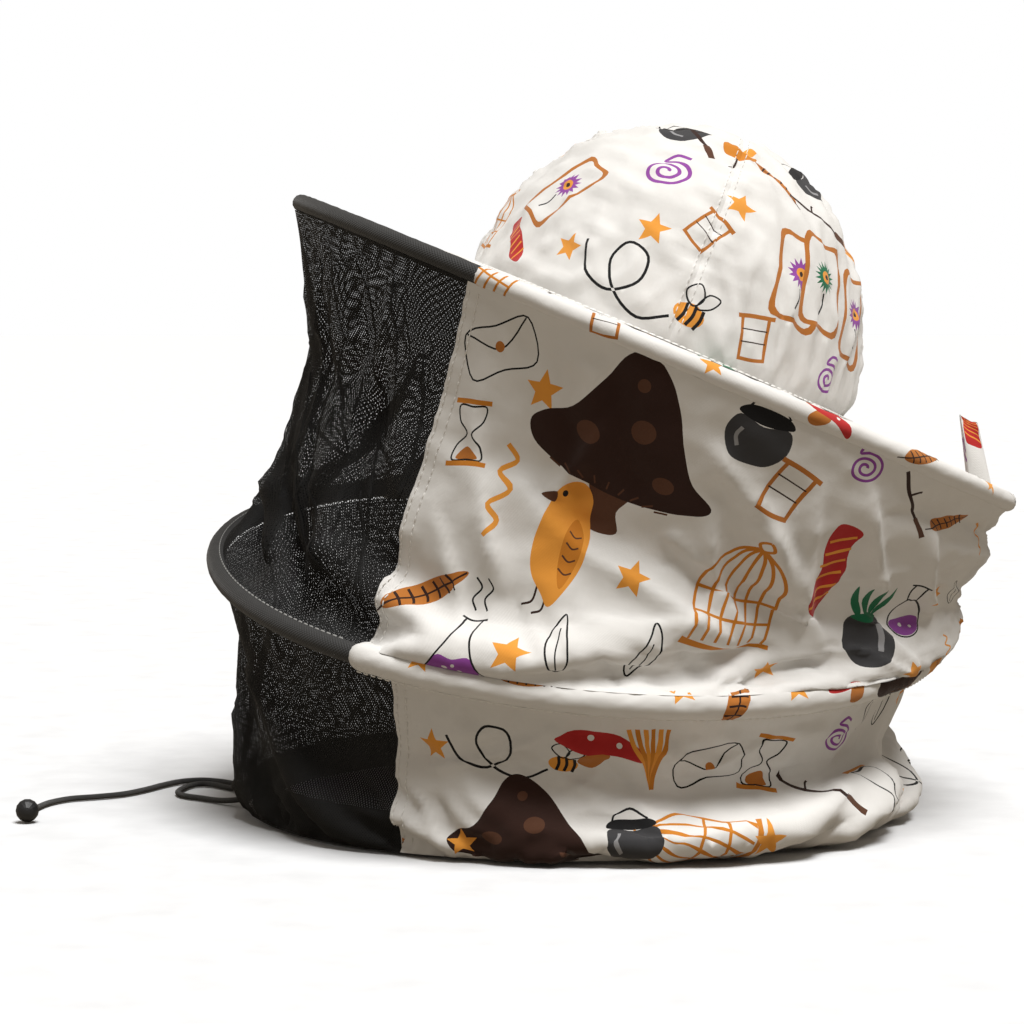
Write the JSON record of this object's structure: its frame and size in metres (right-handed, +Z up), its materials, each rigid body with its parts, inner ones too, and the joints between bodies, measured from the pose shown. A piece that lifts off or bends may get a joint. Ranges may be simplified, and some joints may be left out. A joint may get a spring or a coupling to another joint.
{
  "type": "beekeeping veil",
  "caption": "Sun hat with a wired brim, a wall of printed cotton and black netting down to a second wired hoop, and a short skirt gathered by an elastic drawstring.",
  "frame": {"origin": "on the surface that the hem stands on, under the middle of the veil's box", "axes": "+Z up, -X is the way the face looks, -Y is the wearer's left side; the brim leans back and the lower hoop leans to the wearer's left, as the veil stands at rest"},
  "size_m": [0.4728, 0.374, 0.3272],
  "materials": {
    "white_cotton": null,
    "black_net": "fine black see-through netting, about 2 mm mesh",
    "hoop_steel": "round spring wire, hidden in its casing",
    "sleeve_aluminium": "crimped tube that joins the wire's ends",
    "sweatband_cotton": "natural cotton webbing",
    "black_elastic": "braided black elastic cord",
    "black_ball": "satin black moulded ball"
  },
  "bodies": {
    "skirt": {"hem_casing_net": "black_net", "hem_casing_cotton": "white_cotton", "drawstring_in_hem": "black_elastic", "drawstring_tail": "black_elastic", "drawstring_loop": "black_elastic", "drawstring_ball": "black_ball", "skirt_net": "black_net", "skirt_cotton": "white_cotton"},
    "hoop": {"lower_hoop": "hoop_steel", "lower_hoop_sleeve": "sleeve_aluminium", "hoop_casing_net": "black_net", "hoop_casing_cotton": "white_cotton", "veil_net": "black_net", "veil_cotton": "white_cotton"},
    "hat": {"crown_gore_back_right": "white_cotton", "crown_gore_front_right": "white_cotton", "crown_gore_front_left": "white_cotton", "crown_gore_back_left": "white_cotton", "sweatband": "sweatband_cotton", "brim_upper_ply": "white_cotton", "brim_lower_ply": "white_cotton", "brim_wire": "hoop_steel", "brim_wire_sleeve": "sleeve_aluminium", "brim_casing_net": "black_net", "brim_casing_cotton": "white_cotton"},
    "loop": {"hanging_loop": "white_cotton"}
  },
  "joints": [
    {"name": "skirt_fold", "type": "hinge", "parent": "skirt", "child": "hoop", "pos_m": [0.20255, -0.43485, 0.07595], "axis": [-0.8942, -0.4476, 0], "range_deg": [0, 7.65], "deforming": ["skirt_net", "skirt_cotton"]},
    {"name": "veil_fold", "type": "hinge", "parent": "hoop", "child": "hat", "pos_m": [0.27982, 0.16974, 0.19219], "axis": [0.5184, -0.8266, -0.219], "range_deg": [0, 12.82], "deforming": ["veil_net", "veil_cotton"]},
    {"name": "hanging_loop_fold", "type": "hinge", "parent": "hat", "child": "loop", "pos_m": [0.17865, 0, 0.1565], "axis": [0.9212, 0, -0.3891], "range_deg": [-75, 75]}
  ]
}
